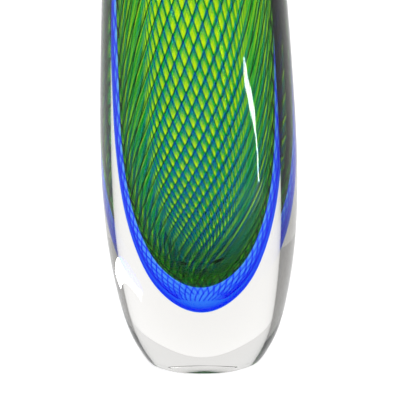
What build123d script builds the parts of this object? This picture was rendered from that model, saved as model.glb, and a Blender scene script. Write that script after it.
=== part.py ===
"""Hand blown cased glass vase with spiral threads sealed between its layers.

Millimetres, +Z up. The origin is the middle of the foot, on the surface it stands on.
Every level section is an oval: wide along X, narrower along Y. From the inside out the
vase is a green liner, a blue overlay that holds the threads, and a thick clear casing.
"""
from build123d import *
import math
import os

# ------------------------------------------------------------ driving dimensions
HEIGHT = 240.0  # foot to rim

# Outer surface: height, half width along X, half depth along Y.
BODY_SECTIONS = [
    (0.0, 27.5, 24.5),
    (10.0, 33.3, 28.4),
    (28.0, 38.9, 31.8),
    (55.0, 43.2, 34.3),
    (90.0, 44.8, 35.2),
    (130.0, 43.5, 34.5),
    (170.0, 41.0, 33.1),
    (210.0, 37.6, 31.2),
    (240.0, 34.5, 29.5),
]

CORE_SHOULDER = 115.0  # above this height the coloured layers only taper
CORE_HALF_WIDTH = 29.3  # outside of the blue overlay at the shoulder, along X
CORE_HALF_DEPTH = 26.8  # the same, along Y
CORE_MOUTH_TAPER = 0.89  # half width at the rim over half width at the shoulder
CORE_BOTTOM = 27.0  # clear glass under the blue overlay

BLUE_WALL = 2.3
BLUE_BOTTOM = 12.0  # blue glass under the liner
LINER_WALL = 1.0
LINER_BOTTOM = 4.0  # green glass under the cavity

# Outline of the round-bottomed layers: share of the half width, share of the height
# from the layer's bottom to the shoulder.
BULLET_OUTLINE = [(0.48, 0.10), (0.745, 0.28), (0.90, 0.50), (0.985, 0.80)]

PONTIL_RADIUS = 13.6  # polished hollow in the middle of the foot
PONTIL_DEPTH = 2.4
FOOT_ROUND = 0.6
RIM_OUTER_ROUND = 2.6
RIM_INNER_ROUND = 0.5

THREAD_COUNT = 34
THREAD_RADIUS = 0.40
THREAD_DEPTH = 0.3  # how far into the blue overlay's wall the threads lie
THREAD_TOP = 237.0  # the overlay closes over the thread ends just under the rim
THREAD_FOOT = 0.10  # threads start this far along the bullet's outline from its pole
THREAD_BULLET_STEPS = 7  # spans of each thread's curve below the shoulder
THREAD_TAPER_STEPS = 4  # and above it
SPACINGS_PER_LOG_HEIGHT = 15.3  # how fast the threads wind, in thread spacings
WINDING_DATUM = 41.0  # they wind by the logarithm of the height above this depth

TOOL_OVERSHOOT = 3.0  # cutting solids run this far past the rim
PARTS = "parts"


# ------------------------------------------------------------ outlines and layers
def layer_sizes(wall, bottom):
    """Half width, half depth and bottom height of the surface `wall` inside the core."""
    return CORE_HALF_WIDTH - wall, CORE_HALF_DEPTH - wall, CORE_BOTTOM + bottom


def bullet_curves(half_width, bottom):
    """Half outline of a round-bottomed layer in the XZ plane: the bullet, then the taper."""
    rise = CORE_SHOULDER - bottom
    points = [(0.0, 0.0, bottom)]
    points += [(half_width * across, 0.0, bottom + rise * up) for across, up in BULLET_OUTLINE]
    points.append((half_width, 0.0, CORE_SHOULDER))
    bullet = Spline(points, tangents=[(1.0, 0.0, 0.0), (0.0, 0.0, 1.0)])
    mouth = (half_width * CORE_MOUTH_TAPER, 0.0, HEIGHT)
    taper = TangentArc([points[-1], mouth], tangent=(0.0, 0.0, 1.0))
    return bullet, taper


def bullet_solid(half_width, half_depth, bottom, overshoot):
    """Solid inside a round-bottomed layer, drawn to an oval, open end past the rim."""
    bullet, taper = bullet_curves(half_width, bottom)
    rim = taper @ 1
    outline = [bullet, taper]
    if overshoot > 0.0:
        lean = (taper % 1).X / (taper % 1).Z
        top = Vector(rim.X + lean * overshoot, 0.0, HEIGHT + overshoot)
        outline.append(Line(rim, top))
        rim = top
    axis_top = Vector(0.0, 0.0, rim.Z)
    outline.append(Line(rim, axis_top))
    outline.append(Line(axis_top, bullet @ 0))
    turned = revolve(make_face(outline), Axis.Z)
    return scale(turned, by=(1.0, half_depth / half_width, 1.0))


def body_solid():
    """Solid inside the outer surface, with softened foot and rim edges."""
    sections = [
        Plane.XY.offset(level) * Ellipse(half_width, half_depth)
        for level, half_width, half_depth in BODY_SECTIONS
    ]
    body = loft(sections)
    rim_edge = body.edges().group_by(Axis.Z)[-1]
    body = fillet(rim_edge, RIM_OUTER_ROUND)
    foot_edge = body.edges().group_by(Axis.Z)[0]
    return fillet(foot_edge, FOOT_ROUND)


def pontil_hollow():
    """Ball whose cap is the polished hollow under the foot."""
    radius = (PONTIL_RADIUS**2 + PONTIL_DEPTH**2) / (2.0 * PONTIL_DEPTH)
    return Pos(0.0, 0.0, PONTIL_DEPTH - radius) * Sphere(radius)


# ------------------------------------------------------------ threads
def winding_angle(level):
    """Turn of the threads round the core, in radians, from its bottom up to a height."""
    ratio = (level + WINDING_DATUM) / (CORE_BOTTOM + WINDING_DATUM)
    return 2.0 * math.pi / THREAD_COUNT * SPACINGS_PER_LOG_HEIGHT * math.log(ratio)


def thread_stations():
    """Half widths and heights of the points that every thread passes, and their oval."""
    depth = THREAD_DEPTH * BLUE_WALL
    half_width, half_depth, bottom = layer_sizes(depth, THREAD_DEPTH * BLUE_BOTTOM)
    bullet, taper = bullet_curves(half_width, bottom)
    bullet_span = (1.0 - THREAD_FOOT) / THREAD_BULLET_STEPS
    stations = [bullet @ (THREAD_FOOT + bullet_span * step) for step in range(THREAD_BULLET_STEPS)]
    top = (THREAD_TOP - CORE_SHOULDER) / (HEIGHT - CORE_SHOULDER)
    taper_span = top / THREAD_TAPER_STEPS
    stations += [taper @ (taper_span * step) for step in range(THREAD_TAPER_STEPS + 1)]
    return [(point.X, point.Z) for point in stations], half_depth / half_width


def thread(index, stations, oval):
    """One glass thread: a round rod that follows its spiral on the oval core."""
    start_angle = 2.0 * math.pi * index / THREAD_COUNT
    points = []
    for half_width, level in stations:
        angle = start_angle + winding_angle(level)
        across = half_width * math.cos(angle)
        deep = half_width * oval * math.sin(angle)
        points.append((across, deep, level))
    path = Spline(points)
    section = Plane(origin=path @ 0, z_dir=path % 0) * Circle(THREAD_RADIUS)
    return sweep(section, path)


# ------------------------------------------------------------ the pieces
def make_threads():
    stations, oval = thread_stations()
    return [thread(index, stations, oval) for index in range(THREAD_COUNT)]


def make_clear_casing():
    core = bullet_solid(*layer_sizes(0.0, 0.0), TOOL_OVERSHOOT)
    return body_solid() - core - pontil_hollow()


def make_blue_overlay():
    """Blue shell; the threads are pressed into its wall."""
    core = bullet_solid(*layer_sizes(0.0, 0.0), 0.0)
    return core - bullet_solid(*layer_sizes(BLUE_WALL, BLUE_BOTTOM), TOOL_OVERSHOOT)


def make_green_liner():
    liner = bullet_solid(*layer_sizes(BLUE_WALL, BLUE_BOTTOM), 0.0)
    wall = BLUE_WALL + LINER_WALL
    cavity = bullet_solid(*layer_sizes(wall, BLUE_BOTTOM + LINER_BOTTOM), TOOL_OVERSHOOT)
    shell = liner - cavity
    lip = shell.edges().group_by(Axis.Z)[-1].sort_by(SortBy.LENGTH)[0]
    return fillet(lip, RIM_INNER_ROUND)


def main():
    os.makedirs(PARTS, exist_ok=True)
    pieces = {
        "clear_casing": make_clear_casing(),
        "blue_overlay": make_blue_overlay(),
        "green_liner": make_green_liner(),
    }
    for number, rod in enumerate(make_threads(), start=1):
        pieces[f"thread_{number:02d}"] = rod
    for name, piece in pieces.items():
        export_step(piece, os.path.join(PARTS, name + ".step"))


main()
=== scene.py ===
import math

import bpy
import numpy as np
from mathutils import Matrix, Vector


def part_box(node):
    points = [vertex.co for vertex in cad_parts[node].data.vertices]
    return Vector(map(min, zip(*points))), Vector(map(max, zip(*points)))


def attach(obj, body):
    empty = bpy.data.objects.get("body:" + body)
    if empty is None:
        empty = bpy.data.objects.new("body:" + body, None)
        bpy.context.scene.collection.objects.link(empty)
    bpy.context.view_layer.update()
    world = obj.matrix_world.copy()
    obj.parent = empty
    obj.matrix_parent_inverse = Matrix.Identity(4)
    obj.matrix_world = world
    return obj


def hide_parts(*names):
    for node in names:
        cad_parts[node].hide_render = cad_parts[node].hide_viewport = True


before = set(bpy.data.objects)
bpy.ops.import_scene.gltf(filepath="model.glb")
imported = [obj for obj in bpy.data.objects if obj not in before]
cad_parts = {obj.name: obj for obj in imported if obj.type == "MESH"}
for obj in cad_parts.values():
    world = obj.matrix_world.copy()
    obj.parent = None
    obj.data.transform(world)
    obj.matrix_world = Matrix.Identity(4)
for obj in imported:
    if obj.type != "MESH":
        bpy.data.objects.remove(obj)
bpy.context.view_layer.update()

MM = 0.001

# ------------------------------------------------------------ driving dimensions, metres
# Outer surface: height, half width along X, half depth along Y, as in the CAD model.
BODY_SECTIONS = [
    (0.000, 0.0275, 0.0245),
    (0.010, 0.0333, 0.0284),
    (0.028, 0.0389, 0.0318),
    (0.055, 0.0432, 0.0343),
    (0.090, 0.0448, 0.0352),
    (0.130, 0.0435, 0.0345),
    (0.170, 0.0410, 0.0331),
    (0.210, 0.0376, 0.0312),
    (0.240, 0.0345, 0.0295),
]
SHOULDER = 0.115
MOUTH_TAPER = 0.89
BULLET_OUTLINE = [(0.48, 0.10), (0.745, 0.28), (0.90, 0.50), (0.985, 0.80)]
BLUE_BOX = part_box("blue_overlay")
GREEN_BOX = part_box("green_liner")
RIM = GREEN_BOX[1][2]
BLUE_WALL = 2.3 * MM
SKIN_WALL = 0.3 * MM  # the outermost, strongest coloured part of the blue wall
SKIN_BOTTOM = 1.4 * MM
LINER_WALL = 1.0 * MM
LINER_BOTTOM = 4.0 * MM
PONTIL_RADIUS = 13.6 * MM
PONTIL_DEPTH = 2.4 * MM
FOOT_ROUND = 0.6 * MM
RIM_OUTER_ROUND = 2.6 * MM
RIM_INNER_ROUND = 0.5 * MM
SEAM_GAP = 0.02 * MM  # keeps two glass layers from sharing one surface
HOLLOW_MARGIN = 0.3 * MM  # narrow flat strip that keeps the edge of the foot's hollow crisp

THREAD_COUNT = 34
THREAD_RADIUS = 0.30 * MM
THREAD_DEPTH = 0.3  # how far into the blue wall, as a share of it
THREAD_FOOT = 0.10  # where they start along the bullet's outline, as a share of it
THREAD_TOP = 0.237
SPACINGS_PER_LOG_HEIGHT = 15.3  # how fast they wind, in thread spacings
WINDING_DATUM = 0.041  # they wind by the logarithm of the height above this depth

# Glass absorbs DENSITY * (1 - TINT) of each colour per metre, as a natural exponent.
CLEAR_TINT = (0.70, 0.69, 0.67)
CLEAR_DENSITY = 18.0
BLUE_TINT = (0.70, 0.85, 0.99)
BLUE_DENSITY = 100.0
SKIN_TINT = (0.45, 0.76, 0.9985)
SKIN_DENSITY = 2000.0
GREEN_TINT = (0.95, 0.967, 0.46)
GREEN_DENSITY = 650.0
THREAD_TINT = (0.1, 0.5, 0.985)
THREAD_DENSITY = 6000.0
WHITE = (1.0, 1.0, 1.0)
GLASS_IOR = 1.5
MIRROR_SHARE = 0.25  # how much of plain glass's reflection is left
MARK_SCALE = 45.0  # tool marks: noise cells per metre, and their relief
MARK_DETAIL = 1.0
MARK_STRENGTH = 0.04
MARK_RELIEF = 0.6 * MM
CLOUD_TINT = (0.985, 0.99, 0.995)
CLOUD_SCALE = 70.0
CLOUD_DETAIL = 2.0
CLOUD_NOISE = (0.35, 0.65)  # from clear to clouded

# The stain under the blue glass multiplies light by these colours.
YELLOW_STAIN = (1.0, 1.0, 0.07)
VEIL_HIGH = (0.01, 0.57, 0.66)
VEIL_LOW = (0.003, 0.44, 0.78)
VEIL_HEIGHTS = (0.06, 0.18)  # from VEIL_LOW to VEIL_HIGH
# Where the yellow opens between one thread and the next, low and high on the core.
YELLOW_HEIGHTS = (0.05, 0.17)
YELLOW_START = (0.34, 0.06)
YELLOW_FULL = (0.84, 0.50)
YELLOW_END = (0.86, 0.94)  # it fades out over this stretch, at every height
STREAKS_PER_THREAD = 5.0
STREAKS_PER_METRE = 28.0
STREAK_DETAIL = 3.0
STREAK_NOISE = (0.3, 0.7)
STREAK_WAVER = 0.14  # how far the streaks push the yellow's edge, in thread spacings

# Studio.
CAMERA_TURN = 7.4  # degrees towards +X
CAMERA_ROLL = -1.7  # degrees
CAMERA_DISTANCE = 0.73
CAMERA_HEIGHT = 0.295
CAMERA_AIM = 0.076  # height on the axis that it looks at
CAMERA_LENS = 150.0  # millimetres, on the sensor's width below
CAMERA_SENSOR = 36.0
FLOOR_REACH = 6.0
FLOOR_GREY = 0.6
FLOOR_ROUGHNESS = 0.9
FLOOR_FADE = (-0.45, -0.07)  # the stretch of Y over which the table's painted glow brightens
FLOOR_PAINTED_GLOW = (0.25, 0.8)
SKY_SWEEP = (-0.5, 0.6)  # the same for the world, by the Y of its direction
SKY_GLOW = (0.5, 1.05)
# Two strip lights stand for a window: a wide one down to WINDOW_FOOT, a thin one below it.
WINDOW_TOP = (0.284, -0.238, 0.098)
WINDOW_FOOT = (0.325, -0.185, 0.055)
WINDOW_EDGE_FOOT = (0.33, -0.17, -0.01)
WINDOW_WIDTH, WINDOW_POWER = 0.022, 0.50
WINDOW_EDGE_WIDTH, WINDOW_EDGE_POWER = 0.007, 0.20
LIGHT_BOUNCES = 32  # a ray crosses every layer of glass twice or more
GLOSSY_BOUNCES = 8
TRANSPARENT_BOUNCES = 96  # the threads and fused faces count as transparent

# Mesh fineness.
SAMPLES_PER_THREAD = 12
AROUND = THREAD_COUNT * SAMPLES_PER_THREAD
BULLET_ROWS = 150
BULLET_CROWDING = 1.3  # above 1, the rows of a bullet lie closer together near its pole
TAPER_ROWS = 90
BODY_ROWS = 220
HOLLOW_ROWS = 12
ROUND_ROWS = 8
THREAD_SIDES = 10
THREAD_BULLET_ROWS = 60
THREAD_TAPER_ROWS = 40
FOOT_ARC = (-90, -25)  # degrees; the neighbouring rows take up the rest of each rounding
RIM_ARC = (5, 90)
LIP_ARC = (90, 8)

FUSED, AIR, STAINED = 0.0, 1.0, 2.0  # what a face of glass meets
MEETS_TOLERANCE = 0.5  # less than this far from a kind counts as that kind


# ------------------------------------------------------------ outlines
def smooth_curve(points, start_slope=None, end_slope=None):
    """Cubic spline through points, by chord length, as a function of 0..1."""
    pts = np.array(points, float)
    knots = np.concatenate([[0.0], np.cumsum(np.linalg.norm(np.diff(pts, axis=0), axis=1))])
    gaps = np.diff(knots)
    count = len(pts)
    system = np.zeros((count, count))
    target = np.zeros_like(pts)
    for row in range(1, count - 1):
        left, right = gaps[row - 1], gaps[row]
        system[row, row - 1] = right
        system[row, row] = 2.0 * (left + right)
        system[row, row + 1] = left
        target[row] = 3.0 * (
            right * (pts[row] - pts[row - 1]) / left + left * (pts[row + 1] - pts[row]) / right
        )
    ends = ((0, 1, gaps[0], start_slope), (count - 1, count - 2, gaps[-1], end_slope))
    for row, mate, gap, slope in ends:
        if slope is None:
            system[row, row] = 2.0
            system[row, mate] = 1.0
            target[row] = 3.0 * (pts[max(row, mate)] - pts[min(row, mate)]) / gap
        else:
            system[row, row] = 1.0
            target[row] = np.array(slope, float)
    slopes = np.linalg.solve(system, target)

    def at(share):
        where = np.clip(share, 0.0, 1.0) * knots[-1]
        span = int(np.clip(np.searchsorted(knots, where) - 1, 0, count - 2))
        gap = gaps[span]
        u = (where - knots[span]) / gap
        start, end = pts[span], pts[span + 1]
        return (
            (2 * u**3 - 3 * u**2 + 1) * start
            + (u**3 - 2 * u**2 + u) * gap * slopes[span]
            + (3 * u**2 - 2 * u**3) * end
            + (u**3 - u**2) * gap * slopes[span + 1]
        )

    return at


def layer(corners):
    """Half width, half depth at the shoulder and bottom height of a layer's outside."""
    low, high = corners
    return high[0], high[1], low[2]


def bullet(half_width, bottom):
    """The round-bottomed outline from the axis to the shoulder, as a function of 0..1."""
    rise = SHOULDER - bottom
    points = [(0.0, bottom)]
    points += [(half_width * across, bottom + rise * up) for across, up in BULLET_OUTLINE]
    points.append((half_width, SHOULDER))
    return smooth_curve(points, (1.0, 0.0), (0.0, 1.0))


def taper(half_width, share):
    """The gentle arc from the shoulder to the rim: half width and height."""
    drop = half_width * (1.0 - MOUTH_TAPER)
    return half_width - drop * share**2, SHOULDER + (RIM - SHOULDER) * share


def layer_rings(half_width, half_depth, bottom, top):
    """Rings of a round-bottomed layer from just off the axis up to a height."""
    curve = bullet(half_width, bottom)
    oval = half_depth / half_width
    rings = []
    for row in range(1, BULLET_ROWS + 1):
        across, level = curve((row / BULLET_ROWS) ** BULLET_CROWDING)
        rings.append((across, across * oval, level))
    top_share = (top - SHOULDER) / (RIM - SHOULDER)
    for row in range(1, TAPER_ROWS + 1):
        across, level = taper(half_width, top_share * row / TAPER_ROWS)
        rings.append((across, across * oval, level))
    return rings


def body_rings(bottom, top):
    """Rings of the outer surface between two heights."""
    curve = smooth_curve(BODY_SECTIONS)
    levels = [curve(row / BODY_ROWS) for row in range(BODY_ROWS + 1)]
    return [(hw, hd, level) for level, hw, hd in levels if bottom < level < top]


def rounding(half_width, half_depth, level, radius, arc):
    """Round edge about a ring, from one angle to another, as rings."""
    start, end = arc
    rings = []
    for row in range(ROUND_ROWS + 1):
        angle = math.radians(start + (end - start) * row / ROUND_ROWS)
        out = radius * math.cos(angle)
        rings.append((half_width + out, half_depth + out, level + radius * math.sin(angle)))
    return rings


# ------------------------------------------------------------ meshes
def winding(level):
    """Turn of the threads round the core from its bottom up to a height, in radians."""
    ratio = (level + WINDING_DATUM) / (BLUE_BOX[0][2] + WINDING_DATUM)
    return 2.0 * math.pi / THREAD_COUNT * SPACINGS_PER_LOG_HEIGHT * math.log(ratio)


def ring_solid(name, first_pole, rings, last_pole, sides):
    """Closed solid through a stack of oval rings, with both poles on the axis.

    The columns of vertices wind up with the threads. sides lists (first row, kind): what
    the rows of faces from there on meet, FUSED glass, AIR or the STAINED seam.
    """
    verts = [(0.0, 0.0, first_pole)]
    for half_x, half_y, level in rings:
        turn = winding(level)
        for step in range(AROUND):
            angle = 2.0 * math.pi * step / AROUND + turn
            verts.append((half_x * math.cos(angle), half_y * math.sin(angle), level))
    verts.append((0.0, 0.0, last_pole))
    faces, phases, kinds = [], [], []
    last_row = len(rings)
    for step in range(AROUND):
        after = (step + 1) % AROUND
        start, end = step / SAMPLES_PER_THREAD, (step + 1) / SAMPLES_PER_THREAD
        for row in range(last_row + 1):
            low, high = 1 + (row - 1) * AROUND, 1 + row * AROUND
            if row == 0:
                faces.append((0, high + after, high + step))
                phases += [start, first_pole, end, rings[0][2], start, rings[0][2]]
            elif row == last_row:
                faces.append((low + step, low + after, len(verts) - 1))
                phases += [start, rings[-1][2], end, rings[-1][2], start, last_pole]
            else:
                faces.append((low + step, low + after, high + after, high + step))
                below, above = rings[row - 1][2], rings[row][2]
                phases += [start, below, end, below, end, above, start, above]
            kinds.append([kind for first, kind in sides if row >= first][-1])
    mesh = bpy.data.meshes.new(name)
    mesh.from_pydata(verts, [], faces)
    mesh.shade_smooth()
    mesh.uv_layers.new(name="winding").data.foreach_set("uv", phases)
    mesh.attributes.new("meets", "FLOAT", "FACE").data.foreach_set("value", kinds)
    return place(name, mesh)


def place(name, mesh):
    piece = bpy.data.objects.new(name, mesh)
    bpy.context.collection.objects.link(piece)
    return piece


def rod_mesh(name, path, radius, sides):
    """Round rod along a path of points, with flat ends."""
    spots = [Vector(point) for point in path]
    verts, faces = [], []
    for number, spot in enumerate(spots):
        ahead = spots[min(number + 1, len(spots) - 1)] - spots[max(number - 1, 0)]
        ahead.normalize()
        side = ahead.cross(Vector((spot.x, spot.y, 0.0))).normalized()
        out = ahead.cross(side)
        for step in range(sides):
            angle = 2.0 * math.pi * step / sides
            verts.append(spot + radius * (math.cos(angle) * side + math.sin(angle) * out))
    for row in range(len(spots) - 1):
        for step in range(sides):
            after = (step + 1) % sides
            low, high = row * sides, (row + 1) * sides
            faces.append((low + step, low + after, high + after, high + step))
    faces.append(tuple(reversed(range(sides))))
    faces.append(tuple((len(spots) - 1) * sides + step for step in range(sides)))
    mesh = bpy.data.meshes.new(name)
    mesh.from_pydata(verts, [], faces)
    mesh.shade_smooth()
    return place(name, mesh)


# ------------------------------------------------------------ materials
class Nodes:
    """A material's node tree, with a short way to add and join nodes."""

    def __init__(self, name):
        self.material = bpy.data.materials.new(name)
        self.material.use_nodes = True
        self.tree = self.material.node_tree
        self.tree.nodes.clear()
        self.output = self.tree.nodes.new("ShaderNodeOutputMaterial")

    def add(self, kind, **settings):
        node = self.tree.nodes.new(kind)
        for key, value in settings.items():
            setattr(node, key, value)
        return node

    def link(self, source, target):
        self.tree.links.new(source, target)

    def math(self, operation, first, second=None):
        node = self.add("ShaderNodeMath", operation=operation)
        for socket, value in zip(node.inputs, (first, second)):
            if value is None:
                continue
            if isinstance(value, (int, float)):
                socket.default_value = value
            else:
                self.link(value, socket)
        return node.outputs[0]


def polished_surface(nodes, marked):
    """Smooth glass against air, with faint tool marks where it was shaped hot."""
    shader = nodes.add("ShaderNodeBsdfPrincipled")
    shader.inputs["Base Color"].default_value = (*WHITE, 1.0)
    shader.inputs["Transmission Weight"].default_value = 1.0
    shader.inputs["Roughness"].default_value = 0.0
    shader.inputs["IOR"].default_value = GLASS_IOR
    shader.inputs["Specular Tint"].default_value = (MIRROR_SHARE, MIRROR_SHARE, MIRROR_SHARE, 1.0)
    if marked:
        marks = nodes.add("ShaderNodeTexNoise")
        marks.inputs["Scale"].default_value = MARK_SCALE
        marks.inputs["Detail"].default_value = MARK_DETAIL
        bump = nodes.add("ShaderNodeBump")
        bump.inputs["Strength"].default_value = MARK_STRENGTH
        bump.inputs["Distance"].default_value = MARK_RELIEF
        coords = nodes.add("ShaderNodeTexCoord")
        nodes.link(coords.outputs["Object"], marks.inputs["Vector"])
        nodes.link(marks.outputs["Fac"], bump.inputs["Height"])
        nodes.link(bump.outputs["Normal"], shader.inputs["Normal"])
    return shader.outputs[0]


def mapped(nodes, value, span_from, span_to, kind="LINEAR"):
    """A value carried from one (start, end) to another, and held at the ends."""
    span = nodes.add("ShaderNodeMapRange", interpolation_type=kind)
    for socket, given in zip(span.inputs, (value, *span_from, *span_to)):
        if isinstance(given, (int, float)):
            socket.default_value = given
        else:
            nodes.link(given, socket)
    return span.outputs[0]


def blend(nodes, share, first, second):
    """The first colour where the share is 0, the second where it is 1."""
    mix = nodes.add("ShaderNodeMix", data_type="RGBA")
    nodes.link(share, mix.inputs[0])
    for socket, colour in ((mix.inputs[6], first), (mix.inputs[7], second)):
        if isinstance(colour, tuple):
            socket.default_value = (*colour, 1.0)
        else:
            nodes.link(colour, socket)
    return mix.outputs[2]


def cloud_colour(nodes):
    """Faint unevenness where two layers have melted together."""
    coords = nodes.add("ShaderNodeTexCoord")
    clouds = nodes.add("ShaderNodeTexNoise")
    clouds.inputs["Scale"].default_value = CLOUD_SCALE
    clouds.inputs["Detail"].default_value = CLOUD_DETAIL
    nodes.link(coords.outputs["Object"], clouds.inputs["Vector"])
    share = mapped(nodes, clouds.outputs["Fac"], CLOUD_NOISE, (0.0, 1.0))
    return blend(nodes, share, WHITE, CLOUD_TINT)


def stain_colour(nodes):
    """Each thread trails a teal veil that fades to yellow just before the next thread."""
    winding_map = nodes.add("ShaderNodeUVMap", uv_map="winding")
    split = nodes.add("ShaderNodeSeparateXYZ")
    nodes.link(winding_map.outputs[0], split.inputs[0])
    level = split.outputs["Y"]
    stretch = nodes.add("ShaderNodeCombineXYZ")
    across = nodes.math("MULTIPLY", split.outputs["X"], STREAKS_PER_THREAD)
    nodes.link(across, stretch.inputs["X"])
    nodes.link(nodes.math("MULTIPLY", level, STREAKS_PER_METRE), stretch.inputs["Y"])
    streaks = nodes.add("ShaderNodeTexNoise")
    streaks.inputs["Scale"].default_value = 1.0
    streaks.inputs["Detail"].default_value = STREAK_DETAIL
    nodes.link(stretch.outputs[0], streaks.inputs["Vector"])
    waver = mapped(nodes, streaks.outputs["Fac"], STREAK_NOISE, (-STREAK_WAVER, STREAK_WAVER))
    share = nodes.math("FRACT", split.outputs["X"])
    start = mapped(nodes, level, YELLOW_HEIGHTS, YELLOW_START)
    full = mapped(nodes, level, YELLOW_HEIGHTS, YELLOW_FULL)
    rise = mapped(nodes, nodes.math("ADD", share, waver), (start, full), (0.0, 1.0))
    drop = mapped(nodes, share, YELLOW_END, (1.0, 0.0))
    yellow = nodes.math("MULTIPLY", rise, drop)
    veil = blend(nodes, mapped(nodes, level, VEIL_HEIGHTS, (0.0, 1.0)), VEIL_LOW, VEIL_HIGH)
    return blend(nodes, yellow, veil, YELLOW_STAIN)


def glass(name, colour, density, stained=False, marked=False):
    """Glass that colours by its depth. Fused faces don't bend light, faces to the air do.

    A mesh without the "meets" attribute, such as a thread, is fused all over.
    """
    nodes = Nodes(name)
    absorb = nodes.add("ShaderNodeVolumeAbsorption")
    absorb.inputs["Color"].default_value = (*colour, 1.0)
    absorb.inputs["Density"].default_value = density
    nodes.link(absorb.outputs[0], nodes.output.inputs["Volume"])
    fused = nodes.add("ShaderNodeBsdfTransparent")
    meets = nodes.add("ShaderNodeAttribute", attribute_name="meets")
    tint = cloud_colour(nodes)
    if stained:
        seam = nodes.math("GREATER_THAN", meets.outputs["Fac"], STAINED - MEETS_TOLERANCE)
        tint = blend(nodes, seam, tint, stain_colour(nodes))
    nodes.link(tint, fused.inputs["Color"])
    to_air = nodes.math("COMPARE", meets.outputs["Fac"], AIR)
    to_air.node.inputs[2].default_value = MEETS_TOLERANCE
    mix = nodes.add("ShaderNodeMixShader")
    nodes.link(to_air, mix.inputs[0])
    nodes.link(fused.outputs[0], mix.inputs[1])
    nodes.link(polished_surface(nodes, marked), mix.inputs[2])
    nodes.link(mix.outputs[0], nodes.output.inputs["Surface"])
    return nodes.material


# ------------------------------------------------------------ the pieces
def finish(piece, nodes):
    """Parent the piece to the root body and hide the CAD parts it stands in for."""
    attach(piece, "root")
    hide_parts(*nodes)


def add_casing():
    """Clear glass: the foot's hollow, the foot, the body, the rim and the core's seat."""
    half_x, half_y, bottom = layer(BLUE_BOX)
    hollow_radius = (PONTIL_RADIUS**2 + PONTIL_DEPTH**2) / (2.0 * PONTIL_DEPTH)
    rings = []
    for row in range(1, HOLLOW_ROWS + 1):
        radius = PONTIL_RADIUS * row / HOLLOW_ROWS
        level = math.sqrt(hollow_radius**2 - radius**2) - hollow_radius + PONTIL_DEPTH
        rings.append((radius, radius, level))
    foot_level, foot_x, foot_y = BODY_SECTIONS[0]
    ring_start = PONTIL_RADIUS + HOLLOW_MARGIN
    rings.append((ring_start, ring_start, foot_level))
    rings.append((0.5 * (PONTIL_RADIUS + foot_x), 0.5 * (PONTIL_RADIUS + foot_y), foot_level))
    edge_x, edge_y = foot_x - FOOT_ROUND, foot_y - FOOT_ROUND
    rings += rounding(edge_x, edge_y, foot_level + FOOT_ROUND, FOOT_ROUND, FOOT_ARC)
    rings += body_rings(foot_level + 1.5 * FOOT_ROUND, RIM - RIM_OUTER_ROUND)
    mouth_x = BODY_SECTIONS[-1][1] - RIM_OUTER_ROUND
    mouth_y = BODY_SECTIONS[-1][2] - RIM_OUTER_ROUND
    rings += rounding(mouth_x, mouth_y, RIM - RIM_OUTER_ROUND, RIM_OUTER_ROUND, RIM_ARC)
    inner = layer_rings(half_x, half_y, bottom, RIM)
    rings.append((0.5 * (mouth_x + inner[-1][0]), 0.5 * (mouth_y + inner[-1][1]), RIM))
    wall_from = len(rings)
    rings += reversed(inner)
    sides = [(0, AIR), (wall_from + 1, FUSED)]
    casing = ring_solid("clear_casing_glass", PONTIL_DEPTH, rings, bottom, sides)
    casing.data.materials.append(glass("clear_glass", CLEAR_TINT, CLEAR_DENSITY, marked=True))
    finish(casing, ["clear_casing"])


def add_shell(name, node_and_slot, outside, inside, lip, inner_kind, material):
    """A coloured layer: up its outside, over the rim and down its inside."""
    out_x, out_y, out_bottom = outside
    in_x, in_y, in_bottom = inside
    rings = layer_rings(out_x - SEAM_GAP, out_y - SEAM_GAP, out_bottom + SEAM_GAP, RIM - SEAM_GAP)
    rim_row = len(rings)
    inner = layer_rings(in_x, in_y, in_bottom, RIM - lip - SEAM_GAP)
    if lip > 0.0:
        # A rounding bulges outwards, so this inward one is made mirrored and turned back.
        mouth_x, mouth_y, mouth_level = inner[-1]
        edge = rounding(-mouth_x - lip, -mouth_y - lip, mouth_level, lip, LIP_ARC)
        rings += [(-x, -y, level) for x, y, level in edge]
    wall_row = len(rings) + 1
    rings += reversed(inner)
    sides = [(0, FUSED), (rim_row, AIR), (wall_row, inner_kind)]
    shell = ring_solid(name, out_bottom + SEAM_GAP, rings, in_bottom, sides)
    shell.data.materials.append(material)
    node, slot = node_and_slot
    finish(shell, [node])


def add_threads(material):
    """The spiral threads, each a rod along the core, a little inside the blue wall."""
    half_x, half_y, bottom = layer(BLUE_BOX)
    _, _, liner_bottom = layer(GREEN_BOX)
    half_x -= THREAD_DEPTH * BLUE_WALL
    half_y -= THREAD_DEPTH * BLUE_WALL
    bottom += THREAD_DEPTH * (liner_bottom - bottom)
    oval = half_y / half_x
    curve = bullet(half_x, bottom)
    track = []
    for row in range(THREAD_BULLET_ROWS):
        track.append(curve(THREAD_FOOT + (1.0 - THREAD_FOOT) * row / THREAD_BULLET_ROWS))
    top_share = (THREAD_TOP - SHOULDER) / (RIM - SHOULDER)
    for row in range(THREAD_TAPER_ROWS + 1):
        track.append(taper(half_x, top_share * row / THREAD_TAPER_ROWS))
    for index in range(THREAD_COUNT):
        path = []
        for across, level in track:
            angle = 2.0 * math.pi * index / THREAD_COUNT + winding(level)
            path.append((across * math.cos(angle), across * oval * math.sin(angle), level))
        name = f"thread_{index + 1:02d}"
        rod = rod_mesh(name + "_glass", path, THREAD_RADIUS, THREAD_SIDES)
        rod.data.materials.append(material)
        finish(rod, [name])


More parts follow.
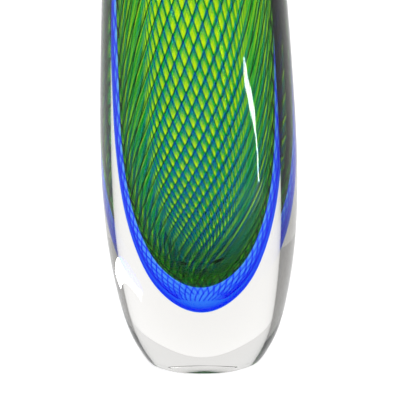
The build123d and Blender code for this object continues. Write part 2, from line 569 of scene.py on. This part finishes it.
def add_core():
    """The coloured layers, from the blue skin in to the green liner, and the threads."""
    blue = layer(BLUE_BOX)
    green = layer(GREEN_BOX)
    cavity = (green[0] - LINER_WALL, green[1] - LINER_WALL, green[2] + LINER_BOTTOM)
    blue_glass = glass("blue_glass", BLUE_TINT, BLUE_DENSITY, stained=True)
    green_glass = glass("green_glass", GREEN_TINT, GREEN_DENSITY)
    thread_glass = glass("thread_glass", THREAD_TINT, THREAD_DENSITY)
    skin_glass = glass("blue_skin", SKIN_TINT, SKIN_DENSITY)
    inner = (blue[0] - SKIN_WALL, blue[1] - SKIN_WALL, blue[2] + SKIN_BOTTOM)
    overlay = ("blue_overlay", "blue_glass")
    liner = ("green_liner", "green_glass")
    add_shell("blue_skin_glass", overlay, blue, inner, 0.0, FUSED, skin_glass)
    add_shell("blue_overlay_glass", overlay, inner, green, 0.0, STAINED, blue_glass)
    add_shell("green_liner_glass", liner, green, cavity, RIM_INNER_ROUND, AIR, green_glass)
    add_threads(thread_glass)


# ------------------------------------------------------------ studio
def add_floor():
    """White table with a painted glow: painted light that falls off in front of the vase."""
    mesh = bpy.data.meshes.new("studio_floor")
    signs = ((-1, -1), (1, -1), (1, 1), (-1, 1))
    corners = [(FLOOR_REACH * x, FLOOR_REACH * y, 0.0) for x, y in signs]
    mesh.from_pydata(corners, [], [(0, 1, 2, 3)])
    floor = place("studio_floor", mesh)
    nodes = Nodes("studio_white")
    shader = nodes.add("ShaderNodeBsdfPrincipled")
    shader.inputs["Base Color"].default_value = (FLOOR_GREY, FLOOR_GREY, FLOOR_GREY, 1.0)
    shader.inputs["Roughness"].default_value = FLOOR_ROUGHNESS
    shader.inputs["Emission Color"].default_value = (*WHITE, 1.0)
    coords = nodes.add("ShaderNodeTexCoord")
    split = nodes.add("ShaderNodeSeparateXYZ")
    nodes.link(coords.outputs["Object"], split.inputs[0])
    # Painted light: the table's emission rises with Y, a painted pool of light behind the vase.
    painted_light_pool = mapped(nodes, split.outputs["Y"], FLOOR_FADE, FLOOR_PAINTED_GLOW, "SMOOTHSTEP")
    nodes.link(painted_light_pool, shader.inputs["Emission Strength"])
    nodes.link(shader.outputs[0], nodes.output.inputs["Surface"])
    mesh.materials.append(nodes.material)


def add_world():
    """White sweep behind the vase that gets darker towards the camera and behind it."""
    world = bpy.data.worlds.new("studio")
    bpy.context.scene.world = world
    world.use_nodes = True
    tree = world.node_tree
    background = tree.nodes["Background"]
    coords = tree.nodes.new("ShaderNodeTexCoord")
    split = tree.nodes.new("ShaderNodeSeparateXYZ")
    tree.links.new(coords.outputs["Generated"], split.inputs[0])
    span = tree.nodes.new("ShaderNodeMapRange")
    span.inputs["From Min"].default_value, span.inputs["From Max"].default_value = SKY_SWEEP
    span.inputs["To Min"].default_value, span.inputs["To Max"].default_value = SKY_GLOW
    tree.links.new(split.outputs["Y"], span.inputs["Value"])
    tree.links.new(span.outputs[0], background.inputs["Strength"])
    background.inputs["Color"].default_value = (*WHITE, 1.0)


def add_strip_light(name, top, bottom, width, power):
    """Upright strip that faces the vase, for the long bright streaks on the glass."""
    top, bottom = Vector(top), Vector(bottom)
    data = bpy.data.lights.new(name, "AREA")
    data.shape = "RECTANGLE"
    data.size = width
    data.size_y = (top - bottom).length
    data.energy = power
    middle = (top + bottom) / 2.0
    along = (top - bottom).normalized()
    back = Vector((middle.x, middle.y, 0.0)).normalized()
    side = along.cross(back).normalized()
    back = side.cross(along)
    turn = Matrix((side, along, back)).transposed().to_4x4()
    light = bpy.data.objects.new(name, data)
    light.matrix_world = Matrix.Translation(middle) @ turn
    bpy.context.collection.objects.link(light)


def add_camera():
    """Close above the shoulder, looking down at the lower body, turned a little round it."""
    data = bpy.data.cameras.new("camera")
    data.sensor_width = CAMERA_SENSOR
    data.lens = CAMERA_LENS
    camera = bpy.data.objects.new("camera", data)
    turn = math.radians(CAMERA_TURN)
    across, back = CAMERA_DISTANCE * math.sin(turn), CAMERA_DISTANCE * math.cos(turn)
    camera.location = (across, -back, CAMERA_HEIGHT)
    direction = Vector((0.0, 0.0, CAMERA_AIM)) - camera.location
    level = direction.to_track_quat("-Z", "Y").to_matrix().to_4x4()
    roll = Matrix.Rotation(math.radians(CAMERA_ROLL), 4, "Z")
    camera.matrix_world = Matrix.Translation(camera.location) @ level @ roll
    bpy.context.collection.objects.link(camera)
    bpy.context.scene.camera = camera


add_camera()
add_casing()
add_core()
add_floor()
add_world()
add_strip_light("window", WINDOW_TOP, WINDOW_FOOT, WINDOW_WIDTH, WINDOW_POWER)
add_strip_light(
    "window_edge", WINDOW_FOOT, WINDOW_EDGE_FOOT, WINDOW_EDGE_WIDTH, WINDOW_EDGE_POWER
)
scene = bpy.context.scene
scene.view_settings.view_transform = "Standard"
scene.cycles.max_bounces = LIGHT_BOUNCES
scene.cycles.transmission_bounces = LIGHT_BOUNCES
scene.cycles.glossy_bounces = GLOSSY_BOUNCES
scene.cycles.transparent_max_bounces = TRANSPARENT_BOUNCES
